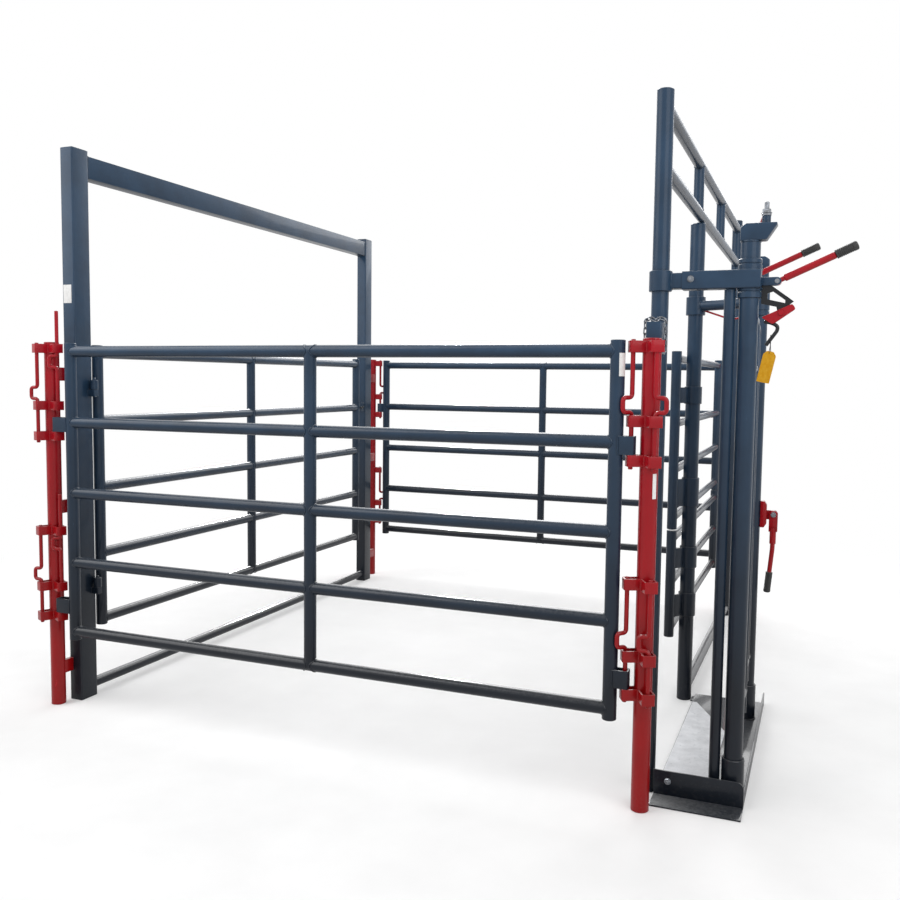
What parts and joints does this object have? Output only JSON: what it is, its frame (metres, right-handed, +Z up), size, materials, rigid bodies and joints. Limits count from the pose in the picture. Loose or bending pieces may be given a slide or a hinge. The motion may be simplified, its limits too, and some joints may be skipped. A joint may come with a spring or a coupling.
{
  "type": "calving pen",
  "caption": "Square livestock pen of round rails with pinned swinging gates, a tall bow frame, split side gates and a headgate with turning doors and hand levers.",
  "frame": {"origin": "the sole of the bow frame's near post", "axes": "+X to the headgate on the right, +Y away from the front gate, +Z up"},
  "size_m": [3.38, 3.311, 2.524],
  "materials": {
    "arm_far": "dark slate paint",
    "arm_near_inner": "dark slate paint",
    "arm_near_sleeve": "dark slate paint",
    "arm_set_bolt": "zinc plated",
    "base_bolt": "zinc plated",
    "base_tray": "dark slate paint",
    "bow_post_far": "dark slate paint",
    "bow_post_near": "dark slate paint",
    "bow_sill": "dark slate paint",
    "bow_top_rail": "dark slate paint",
    "corner_chain": "zinc plated",
    "corner_post_back_left": "crimson paint",
    "corner_post_back_right": "crimson paint",
    "corner_post_near_left": "crimson paint",
    "corner_post_near_right": "crimson paint",
    "corner_stub": "dark slate paint",
    "cross_link": "crimson paint",
    "door_far": "dark slate paint",
    "door_near": "dark slate paint",
    "drop_bolt": "zinc plated",
    "drop_bracket": "crimson paint",
    "drop_lever": "crimson paint",
    "drop_lever_grip": "black rubber",
    "floor_plate": "dusty grey paint",
    "gate_back": "dark slate paint",
    "gate_front": "dark slate paint",
    "gate_left": "dark slate paint",
    "gate_left_chain": "black paint",
    "gate_side_lower": "dark slate paint",
    "gate_side_upper": "dark slate paint",
    "latch_bracket": "black paint",
    "latch_plates": "crimson paint",
    "latch_rod": "black paint",
    "lever_far": "crimson paint",
    "lever_far_grip": "black rubber",
    "lever_near": "crimson paint",
    "lever_near_grip": "black rubber",
    "pin_back_left_a_lower": "crimson paint",
    "pin_back_left_a_upper": "crimson paint",
    "pin_back_left_b_lower": "crimson paint",
    "pin_back_left_b_upper": "crimson paint",
    "pin_back_right_a_lower": "crimson paint",
    "pin_back_right_a_upper": "crimson paint",
    "pin_back_right_b_lower": "crimson paint",
    "pin_back_right_b_upper": "crimson paint",
    "pin_near_left_a_lower": "crimson paint",
    "pin_near_left_a_upper": "crimson paint",
    "pin_near_left_b_lower": "crimson paint",
    "pin_near_left_b_upper": "crimson paint",
    "pin_near_right_a_lower": "crimson paint",
    "pin_near_right_a_upper": "crimson paint",
    "pin_near_right_b_lower": "crimson paint",
    "pin_near_right_b_upper": "crimson paint",
    "post_two": "dark slate paint",
    "right_sill": "dark slate paint",
    "right_upper_rails": "dark slate paint",
    "side_tube": "dark slate paint",
    "tag": "yellow plastic",
    "tall_post_far": "dark slate paint",
    "tall_post_near": "dark slate paint"
  },
  "bodies": {
    "frame": {"arm_far": "arm_far", "arm_near_inner": "arm_near_inner", "arm_near_sleeve": "arm_near_sleeve", "arm_set_bolt": "arm_set_bolt", "base_bolt": "base_bolt", "base_tray": "base_tray", "bow_post_far": "bow_post_far", "bow_post_near": "bow_post_near", "bow_sill": "bow_sill", "bow_top_rail": "bow_top_rail", "corner_chain": "corner_chain", "corner_post_back_left": "corner_post_back_left", "corner_post_back_right": "corner_post_back_right", "corner_post_near_left": "corner_post_near_left", "corner_post_near_right": "corner_post_near_right", "corner_stub": "corner_stub", "floor_plate": "floor_plate", "latch_bracket": "latch_bracket", "latch_plates": "latch_plates", "latch_rod": "latch_rod", "post_two": "post_two", "right_sill": "right_sill", "right_upper_rails": "right_upper_rails", "side_tube": "side_tube", "tag": "tag", "tall_post_far": "tall_post_far", "tall_post_near": "tall_post_near"},
    "gate_front": {"gate_front": "gate_front"},
    "gate_back": {"gate_back": "gate_back"},
    "gate_left": {"gate_left": "gate_left", "gate_left_chain": "gate_left_chain"},
    "gate_side_upper": {"gate_side_upper": "gate_side_upper"},
    "gate_side_lower": {"gate_side_lower": "gate_side_lower"},
    "door_near": {"door_near": "door_near"},
    "door_far": {"door_far": "door_far", "drop_bracket": "drop_bracket", "drop_bolt": "drop_bolt"},
    "cross_link": {"cross_link": "cross_link"},
    "lever_near": {"lever_near": "lever_near", "lever_near_grip": "lever_near_grip"},
    "lever_far": {"lever_far": "lever_far", "lever_far_grip": "lever_far_grip"},
    "drop_lever": {"drop_lever": "drop_lever", "drop_lever_grip": "drop_lever_grip"},
    "pin_back_left_a_lower": {"pin_back_left_a_lower": "pin_back_left_a_lower"},
    "pin_back_left_a_upper": {"pin_back_left_a_upper": "pin_back_left_a_upper"},
    "pin_back_left_b_lower": {"pin_back_left_b_lower": "pin_back_left_b_lower"},
    "pin_back_left_b_upper": {"pin_back_left_b_upper": "pin_back_left_b_upper"},
    "pin_back_right_a_lower": {"pin_back_right_a_lower": "pin_back_right_a_lower"},
    "pin_back_right_a_upper": {"pin_back_right_a_upper": "pin_back_right_a_upper"},
    "pin_back_right_b_lower": {"pin_back_right_b_lower": "pin_back_right_b_lower"},
    "pin_back_right_b_upper": {"pin_back_right_b_upper": "pin_back_right_b_upper"},
    "pin_near_left_a_lower": {"pin_near_left_a_lower": "pin_near_left_a_lower"},
    "pin_near_left_a_upper": {"pin_near_left_a_upper": "pin_near_left_a_upper"},
    "pin_near_left_b_lower": {"pin_near_left_b_lower": "pin_near_left_b_lower"},
    "pin_near_left_b_upper": {"pin_near_left_b_upper": "pin_near_left_b_upper"},
    "pin_near_right_a_lower": {"pin_near_right_a_lower": "pin_near_right_a_lower"},
    "pin_near_right_a_upper": {"pin_near_right_a_upper": "pin_near_right_a_upper"},
    "pin_near_right_b_lower": {"pin_near_right_b_lower": "pin_near_right_b_lower"},
    "pin_near_right_b_upper": {"pin_near_right_b_upper": "pin_near_right_b_upper"}
  },
  "joints": [
    {"name": "front_gate_swing", "type": "hinge", "parent": "frame", "child": "gate_front", "pos_m": [2.56836, -0.14034, 0], "axis": [0, 0, 1], "range_deg": [0, 95]},
    {"name": "back_gate_swing", "type": "hinge", "parent": "frame", "child": "gate_back", "pos_m": [0.01664, 3.06734, 0], "axis": [0, 0, 1], "range_deg": [0, 95]},
    {"name": "left_gate_swing", "type": "hinge", "parent": "frame", "child": "gate_left", "pos_m": [0.06, 0.035, 0], "axis": [0, 0, -1], "range_deg": [0, 75]},
    {"name": "side_upper_swing", "type": "hinge", "parent": "frame", "child": "gate_side_upper", "pos_m": [2.605, 1.13, 0], "axis": [0, 0, 1], "range_deg": [0, 85]},
    {"name": "side_lower_swing", "type": "hinge", "parent": "frame", "child": "gate_side_lower", "pos_m": [2.605, 1.13, 0], "axis": [0, 0, 1], "range_deg": [0, 85]},
    {"name": "door_near_swing", "type": "hinge", "parent": "frame", "child": "door_near", "pos_m": [2.92, 0.09, 0], "axis": [0, 0, -1], "range_deg": [0, 60]},
    {"name": "door_far_swing", "type": "hinge", "parent": "frame", "child": "door_far", "pos_m": [2.898, 0.97, 0], "axis": [0, 0, 1], "range_deg": [0, 60]},
    {"name": "cross_link_turn", "type": "hinge", "parent": "door_near", "child": "cross_link", "pos_m": [2.968, 0.09, 2.0793], "axis": [0, 0, 1], "range_deg": [0, 57]},
    {"name": "lever_near_lift", "type": "hinge", "parent": "frame", "child": "lever_near", "pos_m": [3.01, 0.1, 1.853], "axis": [0, -1, 0], "range_deg": [-20, 40]},
    {"name": "lever_far_lift", "type": "hinge", "parent": "frame", "child": "lever_far", "pos_m": [2.882, 0.865, 1.959], "axis": [0, -1, 0], "range_deg": [-20, 40]},
    {"name": "drop_lever_swing", "type": "hinge", "parent": "door_far", "child": "drop_lever", "pos_m": [2.986, 0.97, 0.93], "axis": [0, 1, 0], "range_deg": [-35, 0]},
    {"name": "pin_back_left_a_lower_lift", "type": "slide", "parent": "gate_back", "child": "pin_back_left_a_lower", "axis": [0, 0, 1], "range_m": [0, 0.14]},
    {"name": "pin_back_left_a_upper_lift", "type": "slide", "parent": "gate_back", "child": "pin_back_left_a_upper", "axis": [0, 0, 1], "range_m": [0, 0.14]},
    {"name": "pin_back_left_b_lower_lift", "type": "slide", "parent": "frame", "child": "pin_back_left_b_lower", "axis": [0, 0, 1], "range_m": [0, 0.14]},
    {"name": "pin_back_left_b_upper_lift", "type": "slide", "parent": "frame", "child": "pin_back_left_b_upper", "axis": [0, 0, 1], "range_m": [0, 0.14]},
    {"name": "pin_back_right_a_lower_lift", "type": "slide", "parent": "frame", "child": "pin_back_right_a_lower", "axis": [0, 0, 1], "range_m": [-0.14, 0]},
    {"name": "pin_back_right_a_upper_lift", "type": "slide", "parent": "frame", "child": "pin_back_right_a_upper", "axis": [0, 0, 1], "range_m": [-0.14, 0]},
    {"name": "pin_back_right_b_lower_lift", "type": "slide", "parent": "frame", "child": "pin_back_right_b_lower", "axis": [0, 0, 1], "range_m": [0, 0.14]},
    {"name": "pin_back_right_b_upper_lift", "type": "slide", "parent": "frame", "child": "pin_back_right_b_upper", "axis": [0, 0, 1], "range_m": [0, 0.14]},
    {"name": "pin_near_left_a_lower_lift", "type": "slide", "parent": "frame", "child": "pin_near_left_a_lower", "axis": [0, 0, 1], "range_m": [-0.14, 0]},
    {"name": "pin_near_left_a_upper_lift", "type": "slide", "parent": "frame", "child": "pin_near_left_a_upper", "axis": [0, 0, 1], "range_m": [-0.14, 0]},
    {"name": "pin_near_left_b_lower_lift", "type": "slide", "parent": "frame", "child": "pin_near_left_b_lower", "axis": [0, 0, 1], "range_m": [0, 0.14]},
    {"name": "pin_near_left_b_upper_lift", "type": "slide", "parent": "frame", "child": "pin_near_left_b_upper", "axis": [0, 0, 1], "range_m": [0, 0.14]},
    {"name": "pin_near_right_a_lower_lift", "type": "slide", "parent": "gate_front", "child": "pin_near_right_a_lower", "axis": [0, 0, 1], "range_m": [0, 0.14]},
    {"name": "pin_near_right_a_upper_lift", "type": "slide", "parent": "gate_front", "child": "pin_near_right_a_upper", "axis": [0, 0, 1], "range_m": [0, 0.14]},
    {"name": "pin_near_right_b_lower_lift", "type": "slide", "parent": "frame", "child": "pin_near_right_b_lower", "axis": [0, 0, 1], "range_m": [0, 0.14]},
    {"name": "pin_near_right_b_upper_lift", "type": "slide", "parent": "frame", "child": "pin_near_right_b_upper", "axis": [0, 0, 1], "range_m": [0, 0.14]}
  ],
  "couplings": [
    {"joint": "door_far_swing", "follows": "door_near_swing", "ratio": 1},
    {"joint": "cross_link_turn", "follows": "door_near_swing", "ratio": 0.95}
  ]
}
